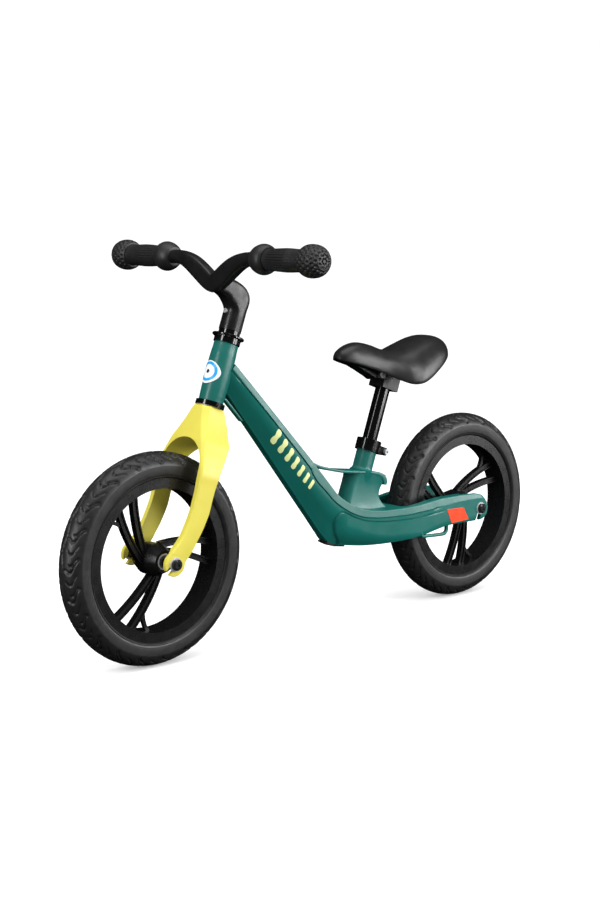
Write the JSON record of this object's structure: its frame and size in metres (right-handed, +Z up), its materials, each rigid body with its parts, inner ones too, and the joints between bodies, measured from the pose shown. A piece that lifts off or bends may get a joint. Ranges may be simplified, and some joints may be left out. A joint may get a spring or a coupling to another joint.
{
  "type": "balance bike",
  "caption": "Child's balance bike: hollow cast step-through frame with forked rear stays, bevelled fork, hooked handlebar, sliding saddle post, and spoked wheels with foam tyres.",
  "frame": {"origin": "on the ground, half way between the two wheel contacts, in the middle plane", "axes": "+X forward, +Y to the rider's left, +Z up; steering axis and seat tube lean back 20 degrees from +Z"},
  "size_m": [0.89, 0.434, 0.5637],
  "materials": {
    "frame_paint": "satin powder coat, dark green-blue, on a magnesium casting",
    "fork_paint": "satin powder coat, yellow-green, on a magnesium casting",
    "black_satin": "satin black powder coat, fine texture",
    "black_gloss": "glossy black anodised",
    "steel": "bright zinc plated",
    "black_steel": "black domed nut",
    "tyre_foam": "matte closed-cell foam",
    "rim_plastic": "semi-gloss moulded black",
    "grip_rubber": "matte ribbed rubber",
    "saddle_foam": "satin integral foam skin",
    "black_plastic": "matte moulded black",
    "black_rubber": "matte moulded rubber",
    "reflector": "orange-red retroreflective film, glossy",
    "badge": "plain round domed badge, pale, glossy"
  },
  "bodies": {
    "frame": {"frame_casting": "frame_paint", "left_reflector": "reflector", "right_reflector": "reflector", "belly_bumper": "black_rubber", "head_badge": "badge", "lower_headset_cup": "black_gloss", "upper_headset_cup": "black_gloss", "lower_headset_balls": "steel", "upper_headset_balls": "steel", "seat_clamp_collar": "black_gloss", "seat_clamp_bolt": "steel", "seat_clamp_nut": "steel", "rear_axle": "steel", "rear_axle_sleeve": "steel", "rear_axle_spacers": "black_gloss", "rear_axle_washers": "steel", "rear_axle_nuts": "black_steel", "rear_bearing_inner_rings": "steel"},
    "steering": {"fork": "fork_paint", "steerer_tube": "steel", "crown_race": "steel", "upper_race": "steel", "headset_top_nut": "black_gloss", "headset_collar": "black_gloss", "handlebar": "black_satin", "stem_bolt": "steel", "left_grip": "grip_rubber", "right_grip": "grip_rubber", "front_axle": "steel", "front_axle_sleeve": "steel", "front_axle_spacers": "black_gloss", "front_axle_washers": "steel", "front_axle_nuts": "black_steel", "front_bearing_inner_rings": "steel"},
    "front_wheel": {"front_tyre": "tyre_foam", "front_rim": "rim_plastic", "front_bearing_outer_rings": "steel", "front_bearing_balls": "steel"},
    "rear_wheel": {"rear_tyre": "tyre_foam", "rear_rim": "rim_plastic", "rear_bearing_outer_rings": "steel", "rear_bearing_balls": "steel"},
    "seat": {"seat_post": "black_gloss", "seat_post_plug": "black_plastic", "saddle_cover": "saddle_foam", "saddle_base": "black_plastic", "saddle_clamp": "black_satin", "saddle_clamp_bolt": "steel"}
  },
  "joints": [
    {"name": "steering_turn", "type": "hinge", "parent": "frame", "child": "steering", "pos_m": [0.275, 0, 0.1359], "axis": [-0.342, 0, 0.9397], "continuous": true},
    {"name": "front_wheel_spin", "type": "hinge", "parent": "steering", "child": "front_wheel", "pos_m": [0.3, 0, 0.145], "axis": [0, 1, 0], "continuous": true},
    {"name": "rear_wheel_spin", "type": "hinge", "parent": "frame", "child": "rear_wheel", "pos_m": [-0.3, 0, 0.145], "axis": [0, 1, 0], "continuous": true},
    {"name": "seat_height", "type": "slide", "parent": "frame", "child": "seat", "axis": [-0.342, 0, 0.9397], "range_m": [-0.05, 0.025]}
  ]
}
